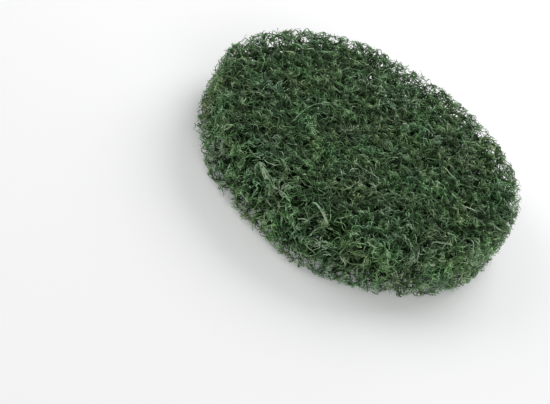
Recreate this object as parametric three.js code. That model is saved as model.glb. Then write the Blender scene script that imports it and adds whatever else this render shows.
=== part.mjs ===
// A round scouring pad: one thick, springy disc of crimped fibre web, cut from
// a sheet of that web with a round die. The web is the same all through and
// has no core, backing or handle, so the pad is one solid. Its outline is a
// circle that the cut and the give of the web left slightly uneven, and its
// rim rounds over into both faces.
//
// Sizes are in millimetres. The pad lies flat: +Z runs up through its
// thickness, and the origin is the middle of its lower face.

import * as THREE from "three";

const DIAMETER = 90; // across the pad, without the waves below
const THICKNESS = 17; // from face to face, with nothing pressing on it
const EDGE_RADIUS = 2.5; // where the rim rounds over into a face

// How far the outline strays from its circle. Each wave has a whole number of
// crests round the pad, rises this far, and has one crest at this angle from
// +X.
const OUTLINE_WAVES = [
  { crests: 3, rise: 0.7, firstCrest: 22 },
  { crests: 4, rise: 0.4, firstCrest: 7 },
  { crests: 5, rise: 0.25, firstCrest: 32 },
];

const OUTLINE_STEPS = 72; // straight edges round the outline
const EDGE_STEPS = 3; // facets across the rounded edge

const web = new THREE.MeshStandardMaterial({
  name: "fibre_web",
  color: 0x3f5539,
  roughness: 0.85,
  metalness: 0,
});

function outlineRadius(angle) {
  let radius = DIAMETER / 2;
  for (const { crests, rise, firstCrest } of OUTLINE_WAVES) {
    const crestAngle = THREE.MathUtils.degToRad(firstCrest);
    radius += rise * Math.cos(crests * (angle - crestAngle));
  }
  return radius;
}

function outline() {
  const points = [];
  for (let i = 0; i < OUTLINE_STEPS; i++) {
    const angle = (2 * Math.PI * i) / OUTLINE_STEPS;
    const radius = outlineRadius(angle);
    points.push(new THREE.Vector2(radius * Math.cos(angle), radius * Math.sin(angle)));
  }
  return points;
}

// The waves make the outline a little wider on one side of the circle's centre
// than on the other, so it is moved to stand in the middle of its own box.
function centred(points) {
  const middle = new THREE.Box2().setFromPoints(points).getCenter(new THREE.Vector2());
  return points.map((point) => point.clone().sub(middle));
}

function scouringPad() {
  const geometry = new THREE.ExtrudeGeometry(new THREE.Shape(centred(outline())), {
    depth: THICKNESS - 2 * EDGE_RADIUS,
    steps: 1,
    bevelEnabled: true,
    bevelThickness: EDGE_RADIUS,
    bevelSize: EDGE_RADIUS,
    bevelOffset: -EDGE_RADIUS,
    bevelSegments: EDGE_STEPS,
  });
  const mesh = new THREE.Mesh(geometry, web);
  mesh.name = "scouring_pad";
  mesh.position.z = EDGE_RADIUS;
  return mesh;
}

const pad = new THREE.Group();
pad.add(scouringPad());

export default pad;
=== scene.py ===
"""A round scouring pad of crimped fibre web, lying flat on a pale floor."""

import math

import bpy
import numpy as np
from mathutils import Matrix, Vector
from mathutils.kdtree import KDTree


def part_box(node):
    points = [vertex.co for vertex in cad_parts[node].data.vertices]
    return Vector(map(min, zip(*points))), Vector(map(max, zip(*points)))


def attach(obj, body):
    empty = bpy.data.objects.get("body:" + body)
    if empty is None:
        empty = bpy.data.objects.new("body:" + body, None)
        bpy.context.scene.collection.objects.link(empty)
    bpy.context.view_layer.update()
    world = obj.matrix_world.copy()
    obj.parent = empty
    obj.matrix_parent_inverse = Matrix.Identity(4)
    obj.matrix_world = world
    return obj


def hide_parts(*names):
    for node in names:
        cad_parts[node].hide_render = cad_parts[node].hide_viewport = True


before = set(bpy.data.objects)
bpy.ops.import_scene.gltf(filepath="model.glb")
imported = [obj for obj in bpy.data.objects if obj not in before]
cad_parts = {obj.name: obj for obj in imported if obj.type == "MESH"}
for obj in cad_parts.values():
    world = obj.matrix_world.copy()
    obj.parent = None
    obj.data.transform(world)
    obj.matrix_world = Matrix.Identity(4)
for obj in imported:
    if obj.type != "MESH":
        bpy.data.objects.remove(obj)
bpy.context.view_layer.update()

MM = 0.001
PAD = "scouring_pad"
SHADE = "strand_shade"
SEED = 5
TINY = 1e-9  # keeps a division by a length of 0 finite
ANGLE_STEPS = 720  # in a turn, to tell the corners of the pad's outline apart

# The sheet of web and its fibres. Lengths are in millimetres.
WEB_LENGTH = 5.0  # of fibre laid in each cubic millimetre of the sheet
SHEET_MARGIN = 6.0  # how far the sheet runs on past the die
STAPLE = 56.0  # the length that the fibres were cut to before they were laid
STEP = 0.6  # between the points of a strand
BEND = 0.2  # how sharply a crimped fibre bends, per millimetre
BEND_LENGTH = 2.0  # how far along a fibre a bend lasts
STEEP = 0.45  # how steeply fibres start up or down through the web
TURN_DEPTH = 0.6  # nearer the surface than this, a fibre turns back into the web
TURN_BACK = 2.2  # how sharply it turns at the surface, per millimetre
TURN_MOST = 1.5  # and the sharpest further out, as a share of that
TURNED = 0.3  # how steeply inwards it runs once it has turned
FACE_FUZZ = 0.15  # how far out of a face loops may stand

# Where fibres gather. Densities are in standard deviations from their mean.
CLUMP_SPACING = 4.0  # between such places, with thin places between them
CLUMP_SPREAD = 0.8  # how far that spacing varies, as a share of it
CLUMP_TURN = 0.4  # how sharply fibres turn towards them, per millimetre
CLUMP_GRID = 0.6  # the cell of the grid that holds this pull
THIN = -0.6  # where the web is less dense than this,
THIN_SHARE = 0.55  # only this share of its strands is left

# The rim.
RIM_BAND = 5.0  # how far in from the rim the web is unlike the rest
RIM_PULL = 0.35  # how sharply fibres turn out to the rim there, per millimetre
RIM_THINNER = 0.6  # how much less dense the web counts as there
RIM_PALE = 1.0  # how much paler the palest strands are there: partly resin rubbed off, partly painted light, as the rim takes light from the sides
RIM_PALE_POWER = 2.0  # above 1, few strands are as pale as that
EDGE_ROUND = 3.0  # the radius by which the web rounds over from its rim into a face
CUT_SHARE = 0.6  # of the fibres run on out of the rim and were cut there by the die
CUT_IN = 0.2  # the deepest of these cuts, inwards from the pad's surface
FUZZ = 1.1  # how much the fibres differ in where the die cut them
END_DEPTH = 1.2  # how deep the fuzz of cut ends reaches from the surface
END_PALE = 0.6  # how much paler it is: partly bare of resin, partly painted light glowing through the thin fuzz

# The core, which shows only through the gaps of the shell round it.
CORE_DEPTH = 1.5  # where it starts, inwards from the surface
CORE_RISE = 0.5  # how much nearer to the surface that is at the rim
CORE_SHARE = 0.72  # this share of its fibre is enough there,
CORE_SWELL = 2.4  # with strands this many times as thick
CORE_DARK = 0.92  # and this much darker, as a share of their shade: painted shade for the dim depth of the web
CORE_RIM = 0.7  # of both the thickness and the painted shade is left out at the rim, which lets light through there
CORE_STEPS = 5  # one point in so many of a core strand is kept
DEEP = 4.5  # nothing shows from further in than this,
DEEP_SHARE = 0.12  # so only this share of the strands left in the core goes on there

# The strands.
STRAND_WIDTH = 0.13  # across a strand with its coat of resin
WIDTH_SPREAD = 0.5  # how far strands differ in width, as a share of it
THINNEST = 0.4  # the thinnest and the thickest strand, as shares of it
THICKEST = 2.2
BEAD_NEAR = 0.30  # resin gathers where another strand passes this near
BEAD_SWELL = 0.6  # how much it widens a strand where the two touch
STRAIGHT = 24.0  # every second point is left out where a strand turns by fewer degrees
MIN_POINTS = 4  # shorter cuttings fall out of the web
SIDES = 3  # of a strand's section
SEEN_WIDTH = 1.62  # about how wide such a section looks, in radii of the ring through its corners
PIECES = 6  # layers of the web, each a mesh of its own

# The corners of the triangle that closes a strand, in its cell of the bake map.
CAP_CORNERS = ((0.1, 0.1), (0.9, 0.1), (0.5, 0.9))

# Strands that stand out from the rest: their way over the pad, how many lie
# side by side, how far apart, and their shade. 1 is bare of resin, and more
# than 1 stays so where the mottle is dark.
STAND_OUT = (
    (
        [(-21.6, -36.2, 16.7), (-20.8, -37.9, 16.9), (-19.6, -39.3, 16.7), (-18.3, -40.4, 16.1)],
        14, 0.28, 1.7,
    ),
    (
        [(-20.2, -38.6, 16.8), (-18.3, -40.4, 16.4), (-16.3, -41.8, 16.2), (-14.4, -42.5, 15.8)],
        3, 0.3, 1.3,
    ),
    (
        [(-15.3, -42.1, 16.0), (-14.4, -42.5, 16.2), (-12.4, -43.0, 16.3), (-11.0, -42.6, 16.0)],
        2, 0.3, 1.2,
    ),
    (
        [(-5.4, -40.2, 16.8), (-4.5, -40.8, 17.1), (-2.3, -42.6, 17.0), (0.1, -44.2, 16.3)],
        6, 0.25, 1.35,
    ),
    (
        [(-20.3, -13.0, 16.7), (-20.1, -11.8, 17.0), (-19.5, -7.1, 17.1), (-18.0, -2.1, 17.1),
         (-14.9, 2.9, 17.1), (-12.1, 4.7, 17.1), (-9.5, 5.1, 17.0), (-8.2, 5.0, 16.7)],
        1, 0.15, 1.15,
    ),
    (
        [(26.0, -30.2, 16.7), (26.7, -29.7, 17.0), (29.0, -28.4, 17.1), (31.1, -26.4, 16.8)],
        2, 0.15, 1.2,
    ),
    (
        [(11.1, -43.0, 16.0), (11.6, -43.0, 16.2), (13.2, -42.8, 15.8), (13.6, -42.6, 15.4)],
        2, 0.15, 1.2,
    ),
)
STAND_OUT_STEPS = 6  # points between two of those places
STAND_OUT_WAVES = 3  # in which such a strand wanders off its way
STAND_OUT_RISE = 0.35  # how high its middle lies above the pad's surface
STAND_OUT_SINK = 0.4  # how deep its ends lie in it
STAND_OUT_WIDTH = 0.95  # across it, as a share of the rest

# The finish. A shade runs from 0, under the darkest resin, to 1, bare of it.
# A noise has a scale, per metre, and a detail.
SHADE_DARK = (0.008, 0.032, 0.004, 1)
SHADE_PALE = (0.182, 0.340, 0.144, 1)  # the palest resin; its greyness is partly painted sheen
SHADE_BARE = (0.370, 0.530, 0.320, 1)
BARE_SHARE = 0.05  # the part of the shades that is past the palest resin
PALE_POWER = 1.4  # above 1, pale strands are rarer than dark ones
MOTTLE = 0.7  # how much paler and darker the strands run from one place to the next
MOTTLE_NOISE = (520, 1)
MOTTLE_BAND = (0.25, 0.75)  # the noise at which it is darkest and palest
DRIFT = 0.6  # how far the green drifts across the pad, between olive and bluish
DRIFT_NOISE = (110, 2)
DRIFT_FROM = (12.2, -22.7, 1.6)  # where in that noise the pad lies, in millimetres
GRIT_NOISE = (6000, 3)
GRIT_HEIGHT = 0.00004  # metres
GRIT_STRENGTH = 0.5
ROUGHNESS = (0.42, 0.68)  # in the hollows of the grit and on its tops
GLOSS = 0.22  # the resin's specular level

# The camera. Angles are in degrees, lengths in millimetres.
CAMERA_ELEVATION = 35.0
CAMERA_ROLL = 29.2  # the pad's own left to right runs down to the right in the picture
CAMERA_DISTANCE = 495.0
CAMERA_AIM = (-13.8, -36.2)  # what the middle of the picture falls on, beside the pad's centre
CAMERA_LENS = 128.0
SENSOR_WIDTH = 36.0

# The lamps: place and width in metres, and power in watts.
LIGHTS = {
    "left_softbox": ((-0.95, 0.0, 0.5), 0.9, 4.1),
    "front_softbox": ((0.4, -0.95, 0.4), 0.9, 5.6),
    "back_softbox": ((0.12, 0.46, 0.34), 0.5, 2.5),
}
WORLD_LEVEL = 0.25  # of the light from all round

# The floor. Lengths are in metres.
FLOOR_HALF = 3.0  # from its middle to its sides
FLOOR_COLOUR = (0.92, 0.92, 0.93, 1)
FLOOR_ROUGHNESS = 0.9
FLOOR_GLOSS = 0.1
FLOOR_GLOW = 0.15  # how much paler than lit it shows to the camera, round the pad
FLOOR_FADE = (0.25, 0.8)  # from the pad, between which that grows until it is white


def pad_mesh_points():
    """The points of the solid pad, in millimetres."""
    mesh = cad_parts[PAD].data
    points = np.zeros(len(mesh.vertices) * 3)
    mesh.vertices.foreach_get("co", points)
    return points.reshape(-1, 3) / MM


def rim_line():
    """The pad's outline as its angles and its radius at each."""
    points = pad_mesh_points()
    radius = np.hypot(points[:, 0], points[:, 1])
    angle = np.arctan2(points[:, 1], points[:, 0])
    steps = np.round(angle / (2 * math.pi) * ANGLE_STEPS).astype(int)
    found = {}
    for step, *corner in zip(steps, angle, radius):
        if step not in found or corner[1] > found[step][1]:
            found[step] = corner
    return np.array(sorted(found.values())).T


LOW, HIGH = (np.array(corner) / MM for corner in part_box(PAD))
THICKNESS = HIGH[2] - LOW[2]
RIM_ANGLE, RIM_RADIUS = rim_line()


def unit(vectors):
    return vectors / np.maximum(np.linalg.norm(vectors, axis=-1, keepdims=True), TINY)


def across(vectors, along):
    """The part of each vector that is square to its direction."""
    return vectors - (vectors * along).sum(-1, keepdims=True) * along


def outward(points):
    """The way from the pad's axis to each point, level with its faces."""
    return unit(points * [1, 1, 0])


def rim_depth(points):
    """How far points lie inside the cut rim."""
    angle = np.arctan2(points[..., 1], points[..., 0])
    rim = np.interp(angle, RIM_ANGLE, RIM_RADIUS, period=2 * math.pi)
    return rim - np.hypot(points[..., 0], points[..., 1])


def rim_share(points):
    """1 at the rim and less further in, down to 0 at the end of its band."""
    return np.clip(1 - rim_depth(points) / RIM_BAND, 0, 1)


def edge_share(points):
    """1 at the rim and less further in, down to 0 where a face's flat part begins."""
    return np.clip(1 - rim_depth(points) / EDGE_ROUND, 0, 1)


def from_face(points):
    """How far points lie from the nearer face, and the way further in from it: 1 is up and -1 down."""
    up = np.where(points[..., 2] < THICKNESS / 2, 1.0, -1.0)
    return np.minimum(points[..., 2], THICKNESS - points[..., 2]), up


def inward(points):
    """How far points lie inside the pad's rounded surface, and the way further in from there."""
    to_face, up = from_face(points)
    to_rim = rim_depth(points)
    short_face = np.maximum(EDGE_ROUND - to_face, 0)
    short_rim = np.maximum(EDGE_ROUND - to_rim, 0)
    short = np.hypot(short_face, short_rim)
    inside = EDGE_ROUND - short + np.maximum(np.minimum(to_face, to_rim) - EDGE_ROUND, 0)
    way = short_rim[..., None] * -outward(points)
    way[..., 2] += short_face * up
    return inside, way / np.maximum(short[..., None], TINY)


def depth(points):
    return inward(points)[0]


def below_shell(points, inside):
    """How far points lie below the web's outer shell, given how far inside its surface they are."""
    return inside - CORE_DEPTH + CORE_RISE * rim_share(points)


def core_share(points, below):
    """How far strands have the core's thick form and its painted shade, from 0 to 1."""
    return np.clip(below, 0, 1) * (1 - CORE_RIM * rim_share(points))


def clumps(rng):
    """How dense the web is on a grid over the sheet, and the pull towards its dense places.

    Returns the grid's lowest corner, the density and the pull.
    """
    reach = RIM_RADIUS.max() + SHEET_MARGIN
    corner = np.array([-reach, -reach, -CLUMP_GRID])
    far_corner = np.array([reach, reach, THICKNESS + CLUMP_GRID])
    cells = np.ceil((far_corner - corner) / CLUMP_GRID).astype(int)
    waves = np.meshgrid(*(np.fft.fftfreq(count, CLUMP_GRID) for count in cells), indexing="ij")
    pitch = np.sqrt(sum(wave**2 for wave in waves)) * CLUMP_SPACING
    band = np.exp(-(((pitch - 1) / CLUMP_SPREAD) ** 2))
    density = np.fft.ifftn(np.fft.fftn(rng.normal(size=cells)) * band).real
    pull = np.stack(np.gradient(density, CLUMP_GRID), axis=-1)
    return corner, density / density.std(), pull / pull.std()


def on_grid(place, corner, values):
    cell = np.round((place - corner) / CLUMP_GRID).astype(int)
    cell = np.clip(cell, 0, np.array(values.shape[:3]) - 1)
    return values[cell[..., 0], cell[..., 1], cell[..., 2]]


def turn_back(place, along, cut):
    """How fibres turn back into the web at its surface. Those that get cut do so only at its faces."""
    inside, way = inward(place)
    to_face, up = from_face(place)
    inside = np.where(cut, to_face, inside)
    way[cut] = up[cut, None] * [0, 0, 1]
    turning = (way * along).sum(-1) < TURNED
    near = np.clip(1 - inside / TURN_DEPTH, 0, TURN_MOST) * turning
    return TURN_BACK * near[:, None] * way


def lay_fibres(rng, corner, pull):
    """Lets fibres wander through a sheet of web. Returns their points, directions and sideways vectors.

    Those that the die cuts come from all over the sheet, which is wider than
    the pad. The others turn back into the web wherever they meet its surface.
    """
    reach = RIM_RADIUS.max() + SHEET_MARGIN
    volume = math.pi * reach**2 * THICKNESS
    count = int(WEB_LENGTH * volume / STAPLE)
    radius = reach * np.sqrt(rng.random(count))
    angle = 2 * math.pi * rng.random(count)
    height = STRAND_WIDTH + (THICKNESS - 2 * STRAND_WIDTH) * rng.random(count)
    place = np.stack([radius * np.cos(angle), radius * np.sin(angle), height], axis=1)
    heading = 2 * math.pi * rng.random(count)
    along = unit(np.stack([np.cos(heading), np.sin(heading), rng.normal(0, STEEP, count)], axis=1))
    side = unit(across(rng.normal(size=(count, 3)), along))
    bend = across(rng.normal(0, BEND, (count, 3)), along)
    cut = (depth(place) < TURN_DEPTH) | (rng.random(count) < CUT_SHARE)
    keep = math.exp(-STEP / BEND_LENGTH)
    stir = BEND * math.sqrt(1 - keep**2)
    points, directions, sides = [], [], []
    for _ in range(int(STAPLE / STEP) + 1):
        points.append(place)
        directions.append(along)
        sides.append(side)
        bend = keep * bend + stir * rng.normal(size=(count, 3))
        turn = bend + CLUMP_TURN * on_grid(place, corner, pull)
        turn += RIM_PULL * rim_share(place)[:, None] * outward(place)
        turn += turn_back(place, along, cut)
        along = unit(along + STEP * across(turn, along))
        place = place + STEP * along
        place[:, 2] = np.clip(place[:, 2], STRAND_WIDTH / 2, THICKNESS + FACE_FUZZ)
        side = unit(across(side, along))
    return tuple(np.stack(values, axis=1) for values in (points, directions, sides))


def runs_of(keep):
    """Numbers each unbroken run of kept points along a fibre, from 0. Points left out get -1."""
    starts = keep.copy()
    starts[:, 1:] &= ~keep[:, :-1]
    number = np.cumsum(starts.ravel()).reshape(keep.shape) - 1
    return np.where(keep, number, -1)


def cut_web(rng, density, points, directions, sides):
    """Cuts the pad out of the sheet and leaves strands out of thin places and the core.

    Returns the strands' points, directions, sideways vectors and strand numbers.
    """
    inside = depth(points)
    edge = edge_share(points)
    own = rng.random((len(points), 1))
    keep = inside > edge * (CUT_IN - FUZZ * own) - (1 - edge) * FACE_FUZZ * own
    thin = density - RIM_THINNER * rim_share(points) < THIN
    core = below_shell(points, inside) > 0
    for place, share in ((thin, THIN_SHARE), (core, CORE_SHARE), (inside > DEEP, DEEP_SHARE)):
        run = runs_of(place)
        dropped = rng.random(run.max() + 1) > share
        keep &= ~((run >= 0) & dropped[run])
    number = runs_of(keep).ravel()
    size = np.bincount(number[number >= 0])
    chosen = (number >= 0) & (size[number] >= MIN_POINTS)
    _, strand = np.unique(number[chosen], return_inverse=True)
    points, directions, sides = (a.reshape(-1, 3)[chosen] for a in (points, directions, sides))
    return points, directions, sides, strand


def nearest_other(points, strand):
    """How far each point is from the nearest point of another strand, up to BEAD_NEAR."""
    tree = KDTree(len(points))
    for i, point in enumerate(points):
        tree.insert(point, i)
    tree.balance()
    near = np.full(len(points), BEAD_NEAR)
    for i, point in enumerate(points):
        for _, other, far in tree.find_range(point, BEAD_NEAR):
            if strand[other] != strand[i]:
                near[i] = min(near[i], far)
    return near


def widths(rng, points, strand, below):
    """The ring radius at each point.

    Strands differ, resin thickens them where they meet, and the core's are thick.
    """
    own = rng.normal(1, WIDTH_SPREAD, strand.max() + 1).clip(THINNEST, THICKEST)
    bead = 1 + BEAD_SWELL * (1 - nearest_other(points, strand) / BEAD_NEAR)
    core = 1 + (CORE_SWELL - 1) * core_share(points, below)
    return STRAND_WIDTH / SEEN_WIDTH * own[strand] * bead * core


def shades(rng, points, strand, inside, below):
    """The shade at each point.

    Strands differ. At the rim they are paler, partly from wear and partly as painted light. Cut ends
    are paler, partly bare of resin and partly painted light through the fuzz. The core is darker as
    painted shade.
    """
    own = rng.random(strand.max() + 1) ** PALE_POWER
    # paler strands at the rim: partly wear, partly painted light on the rim
    wear_and_light = RIM_PALE * rng.random(strand.max() + 1) ** RIM_PALE_POWER
    # paler cut ends near the surface: partly bare of resin, partly painted light through the thin fuzz
    end = np.clip(1 - inside / END_DEPTH, 0, 1) * edge_share(points)
    # what stays dark after the rim's and cut ends' paleness, which is partly painted light
    resin = (1 - own[strand]) * (1 - wear_and_light[strand] * rim_share(points)) * (1 - END_PALE * end)
    # painted shade: the core's strands are darker, for the dim depth of the web
    return (1 - resin) * (1 - CORE_DARK * core_share(points, below))


def spare_points(directions, strand, below):
    """Every second point of a strand where it runs almost straight, and most points in the core."""
    first = np.concatenate([[True], strand[1:] != strand[:-1]])
    start = np.flatnonzero(first)[np.cumsum(first) - 1]
    number = np.arange(len(strand)) - start
    turn = np.zeros(len(strand))
    turn[1:-1] = (directions[:-2] * directions[2:]).sum(-1)
    middle = np.zeros(len(strand), bool)
    middle[1:-1] = (strand[:-2] == strand[1:-1]) & (strand[2:] == strand[1:-1])
    straight = (number % 2 == 1) & (turn > math.cos(math.radians(STRAIGHT)))
    hidden = (number % CORE_STEPS > 0) & (below > 0)
    return middle & (straight | hidden)


def curve_through(places):
    """A smooth curve through some places, with STAND_OUT_STEPS points from each to the next."""
    places = np.array(places)
    lead_in = 2 * places[0] - places[1]
    lead_out = 2 * places[-1] - places[-2]
    guides = np.concatenate([[lead_in], places, [lead_out]])
    t = np.linspace(0, 1, STAND_OUT_STEPS, endpoint=False)[:, None]
    curve = []
    for before, start, end, after in zip(guides, guides[1:], guides[2:], guides[3:]):
        slope = (end - before) / 2
        bend = (2 * before - 5 * start + 4 * end - after) / 2
        twist = (3 * start - before - 3 * end + after) / 2
        curve.append(start + t * slope + t**2 * bend + t**3 * twist)
    return np.concatenate(curve + [places[-1:]])


def stand_out_strands(rng, first_number):
    """The strands that stand out, numbered from first_number.

    Returns their points, directions, sideways vectors, radii, shades and strand numbers.
    """
    found, shade = [], []
    for places, count, apart, bare in STAND_OUT:
        curve = curve_through(places)
        t = np.linspace(0, 1, len(curve))[:, None]
        for _ in range(count):
            first, last = rng.normal(0, apart, (2, 3))
            wander = rng.normal(0, apart, (STAND_OUT_WAVES, 3))
            waves = sum(wave / k * np.sin(k * math.pi * t) for k, wave in enumerate(wander, 1))
            strand = curve + first * (1 - t) + last * t + waves
            inside, way = inward(strand)
            bulge = np.sin(math.pi * t[:, 0]) ** 0.5
            height = STAND_OUT_RISE * bulge - STAND_OUT_SINK * (1 - bulge)
            found.append(strand - (inside + height)[:, None] * way)
            shade.append(np.full(len(curve), bare))
    points = np.concatenate(found)
    number = first_number + np.repeat(np.arange(len(found)), [len(strand) for strand in found])
    along = unit(np.concatenate([np.gradient(strand, axis=0) for strand in found]))
    up = np.broadcast_to([0, 0, 1.0], along.shape)
    radii = np.full(len(points), STRAND_WIDTH / SEEN_WIDTH * STAND_OUT_WIDTH)
    return points, along, unit(across(up, along)), radii, np.concatenate(shade), number


def tube_mesh(name, points, directions, sides, radii, shade, strand):
    """Closed tubes along the strands as one mesh, with the shade at each point and a bake map."""
    other = np.cross(directions, sides)
    turn = np.arange(SIDES)[:, None] * 2 * math.pi / SIDES
    ring = np.cos(turn) * sides[:, None] + np.sin(turn) * other[:, None]
    corners = (points[:, None] + radii[:, None, None] * ring).reshape(-1, 3) * MM
    joined = strand[1:] == strand[:-1]
    here = SIDES * np.flatnonzero(joined)[:, None]
    ahead = here + SIDES
    left = np.arange(SIDES)
    right = (left + 1) % SIDES
    quads = np.stack([here + left, here + right, ahead + right, ahead + left], axis=-1).reshape(-1, 4)
    first = SIDES * np.flatnonzero(np.concatenate([[True], ~joined]))[:, None]
    last = SIDES * np.flatnonzero(np.concatenate([~joined, [True]]))[:, None]
    caps = np.concatenate([first + left[::-1], last + left])
    mesh = bpy.data.meshes.new(name)
    mesh.vertices.add(len(corners))
    mesh.vertices.foreach_set("co", corners.ravel())
    mesh.loops.add(quads.size + caps.size)
    mesh.loops.foreach_set("vertex_index", np.concatenate([quads.ravel(), caps.ravel()]))
    mesh.polygons.add(len(quads) + len(caps))
    starts = np.concatenate([np.arange(len(quads)) * 4, quads.size + np.arange(len(caps)) * 3])
    mesh.polygons.foreach_set("loop_start", starts)
    mesh.update(calc_edges=True)
    mesh.shade_smooth()
    layer = mesh.attributes.new(SHADE, "FLOAT", "POINT")
    layer.data.foreach_set("value", np.repeat(shade, SIDES).astype(np.float32))
    bake_map(mesh, len(here), len(caps))
    piece = bpy.data.objects.new(name, mesh)
    bpy.context.collection.objects.link(piece)
    return piece


def bake_map(mesh, segments, caps):
    """A map named OFBake: each segment of a strand has a cell of its own, with its sides as rows."""
    wide = math.ceil(math.sqrt(segments + caps))
    cell = np.arange(segments)[:, None, None]
    row = np.arange(SIDES)[None, :, None]
    u = cell % wide + np.array([0, 0, 1, 1]) + 0 * row
    v = cell // wide + (row + np.array([0, 1, 1, 0])) / SIDES
    cap = segments + np.arange(caps)[:, None]
    cap_corners = np.stack([cap % wide, cap // wide], axis=-1) + np.array(CAP_CORNERS)
    uv = np.concatenate([np.stack([u, v], axis=-1).reshape(-1, 2), cap_corners.reshape(-1, 2)])
    layer = mesh.uv_layers.new(name="OFBake")
    layer.data.foreach_set("uv", (uv / wide).astype(np.float32).ravel())


def node(tree, kind, **settings):
    made = tree.nodes.new(kind)
    for name, value in settings.items():
        setattr(made, name, value)
    return made


def noise(tree, place, scale, detail):
    made = node(tree, "ShaderNodeTexNoise")
    made.inputs["Scale"].default_value = scale
    made.inputs["Detail"].default_value = detail
    tree.links.new(place, made.inputs["Vector"])
    return made.outputs


def map_range(tree, value, to, start=(0, 1)):
    """A value that runs from one number to another, stretched to run between two others."""
    made = node(tree, "ShaderNodeMapRange")
    made.inputs["From Min"].default_value = start[0]
    made.inputs["From Max"].default_value = start[1]
    made.inputs["To Min"].default_value = to[0]
    made.inputs["To Max"].default_value = to[1]
    tree.links.new(value, made.inputs["Value"])
    return made.outputs["Result"]


def math_node(tree, operation, first, second, **settings):
    made = node(tree, "ShaderNodeMath", operation=operation, **settings)
    tree.links.new(first, made.inputs[0])
    tree.links.new(second, made.inputs[1])
    return made.outputs["Value"]


def strand_green(tree, place):
    """Each strand's own green, mottled from place to place."""
    own = node(tree, "ShaderNodeAttribute", attribute_name=SHADE).outputs["Fac"]
    load = noise(tree, place, *MOTTLE_NOISE)["Fac"]
    mottle = map_range(tree, load, (-MOTTLE, MOTTLE), MOTTLE_BAND)
    green = node(tree, "ShaderNodeValToRGB")
    ramp = green.color_ramp
    ramp.elements[0].color = SHADE_DARK
    ramp.elements[1].color = SHADE_BARE
    ramp.elements.new(1 - BARE_SHARE).color = SHADE_PALE
    tree.links.new(math_node(tree, "ADD", own, mottle, use_clamp=True), green.inputs["Fac"])
    return green.outputs["Color"]


def drifting_tint(tree, place):
    """The tint that drifts across the pad."""
    moved = node(tree, "ShaderNodeVectorMath", operation="ADD")
    moved.inputs[1].default_value = [d * MM for d in DRIFT_FROM]
    tree.links.new(place, moved.inputs[0])
    tint = node(tree, "ShaderNodeVectorMath", operation="MULTIPLY_ADD")
    tint.inputs[1].default_value = (DRIFT, DRIFT, DRIFT)
    tint.inputs[2].default_value = (1 - DRIFT / 2, 1 - DRIFT / 2, 1 - DRIFT / 2)
    tree.links.new(noise(tree, moved.outputs["Vector"], *DRIFT_NOISE)["Color"], tint.inputs[0])
    return tint.outputs["Vector"]


def web_material():
    """Dull green resin over synthetic fibre.

    The green differs from strand to strand and drifts across the pad.
    """
    material = bpy.data.materials.new("green_resin_fibre")
    material.use_nodes = True
    tree = material.node_tree
    link = tree.links.new
    shader = tree.nodes["Principled BSDF"]
    shader.inputs["Specular IOR Level"].default_value = GLOSS
    place = node(tree, "ShaderNodeTexCoord").outputs["Object"]

    tinted = node(tree, "ShaderNodeMix", data_type="RGBA", blend_type="MULTIPLY")
    tinted.inputs["Factor"].default_value = 1
    link(strand_green(tree, place), tinted.inputs["A"])
    link(drifting_tint(tree, place), tinted.inputs["B"])
    link(tinted.outputs["Result"], shader.inputs["Base Color"])

    grit = noise(tree, place, *GRIT_NOISE)["Fac"]
    link(map_range(tree, grit, ROUGHNESS), shader.inputs["Roughness"])
    bump = node(tree, "ShaderNodeBump")
    bump.inputs["Strength"].default_value = GRIT_STRENGTH
    bump.inputs["Distance"].default_value = GRIT_HEIGHT
    link(grit, bump.inputs["Height"])
    link(bump.outputs["Normal"], shader.inputs["Normal"])
    return material


def layers(points, strand):
    """The layer of the web that each point is in. A strand's mean height gives its layer."""
    weight = np.bincount(strand)
    order = np.argsort(np.bincount(strand, points[:, 2]) / weight)
    share = np.cumsum(weight[order]) / weight.sum()
    layer = np.empty(len(order), int)
    layer[order] = np.minimum((share * PIECES).astype(int), PIECES - 1)
    return layer[strand]


def make_web():
    rng = np.random.default_rng(SEED)
    corner, density, pull = clumps(rng)
    fibres = lay_fibres(rng, corner, pull)
    points, directions, sides, strand = cut_web(rng, on_grid(fibres[0], corner, density), *fibres)
    inside = depth(points)
    below = below_shell(points, inside)
    radii = widths(rng, points, strand, below)
    points[:, 2] = np.maximum(points[:, 2], radii)
    shade = shades(rng, points, strand, inside, below)
    kept = ~spare_points(directions, strand, below)
    web = [a[kept] for a in (points, directions, sides, radii, shade, strand)]
    web = [np.concatenate(pair) for pair in zip(web, stand_out_strands(rng, strand.max() + 1))]
    layer = layers(web[0], web[-1])
    material = web_material()
    for number in range(PIECES):
        piece = tube_mesh(f"web_layer_{number + 1}", *(a[layer == number] for a in web))
        piece.data.materials.append(material)
        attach(piece, "root")
        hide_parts(PAD)


def make_camera():
    elevation = math.radians(CAMERA_ELEVATION)
    roll = math.radians(CAMERA_ROLL)
    back = Vector((0, -math.cos(elevation), math.sin(elevation)))
    right = Vector((1, 0, 0))
    up = back.cross(right)
    turned_right = right * math.cos(roll) + up * math.sin(roll)
    turned_up = up * math.cos(roll) - right * math.sin(roll)
    turn = Matrix((turned_right, turned_up, back)).transposed().to_4x4()
    aim = Vector((*CAMERA_AIM, THICKNESS / 2)) * MM
    camera = bpy.data.objects.new("camera", bpy.data.cameras.new("camera"))
    camera.data.lens = CAMERA_LENS
    camera.data.sensor_width = SENSOR_WIDTH
    camera.matrix_world = Matrix.Translation(aim + back * CAMERA_DISTANCE * MM) @ turn
    bpy.context.collection.objects.link(camera)
    bpy.context.scene.camera = camera


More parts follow.
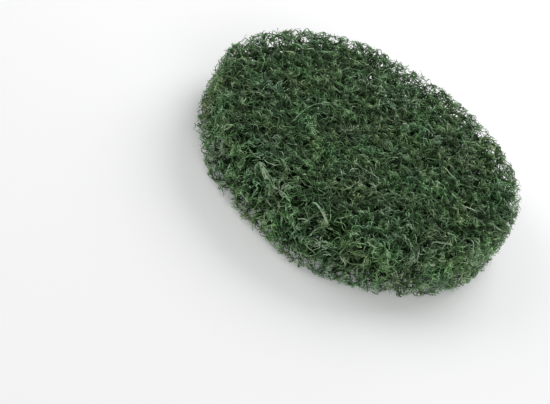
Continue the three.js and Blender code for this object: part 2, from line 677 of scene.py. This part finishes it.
def sees_background(tree):
    """1 for the rays that show the background: the camera's own, and those by way of gloss or glass."""
    rays = node(tree, "ShaderNodeLightPath").outputs
    camera_or_gloss = math_node(tree, "MAXIMUM", rays["Is Camera Ray"], rays["Is Glossy Ray"])
    return math_node(tree, "MAXIMUM", camera_or_gloss, rays["Is Transmission Ray"])


def floor_material():
    material = bpy.data.materials.new("pale_floor")
    material.use_nodes = True
    tree = material.node_tree
    shader = tree.nodes["Principled BSDF"]
    shader.inputs["Base Color"].default_value = FLOOR_COLOUR
    shader.inputs["Roughness"].default_value = FLOOR_ROUGHNESS
    shader.inputs["Specular IOR Level"].default_value = FLOOR_GLOSS
    shader.inputs["Emission Color"].default_value = (1, 1, 1, 1)
    far = node(tree, "ShaderNodeVectorMath", operation="LENGTH")
    tree.links.new(node(tree, "ShaderNodeTexCoord").outputs["Object"], far.inputs[0])
    glow = map_range(tree, far.outputs["Value"], (FLOOR_GLOW, 1), FLOOR_FADE)
    shown = math_node(tree, "MULTIPLY", glow, sees_background(tree))
    tree.links.new(shown, shader.inputs["Emission Strength"])
    return material


def make_floor():
    half = FLOOR_HALF
    corners = [(-half, -half, 0), (half, -half, 0), (half, half, 0), (-half, half, 0)]
    mesh = bpy.data.meshes.new("floor")
    mesh.from_pydata(corners, [], [(0, 1, 2, 3)])
    mesh.materials.append(floor_material())
    floor = bpy.data.objects.new("floor", mesh)
    bpy.context.collection.objects.link(floor)


def area_light(name, place, size, power):
    """A round soft lamp that shines at the pad."""
    light = bpy.data.objects.new(name, bpy.data.lights.new(name, "AREA"))
    light.data.shape = "DISK"
    light.data.size = size
    light.data.energy = power
    light.location = place
    light.rotation_mode = "QUATERNION"
    light.rotation_quaternion = (-Vector(place)).to_track_quat("-Z", "Y")
    bpy.context.collection.objects.link(light)


def make_world():
    """White where it shows, and dimmer where it only lights."""
    world = bpy.data.worlds.new("studio")
    world.use_nodes = True
    tree = world.node_tree
    background = tree.nodes["Background"]
    background.inputs["Color"].default_value = (1, 1, 1, 1)
    level = map_range(tree, sees_background(tree), (WORLD_LEVEL, 1))
    tree.links.new(level, background.inputs["Strength"])
    bpy.context.scene.world = world


make_camera()
make_web()
make_floor()
for name, light in LIGHTS.items():
    area_light(name, *light)
make_world()
bpy.context.scene.view_settings.view_transform = "Standard"
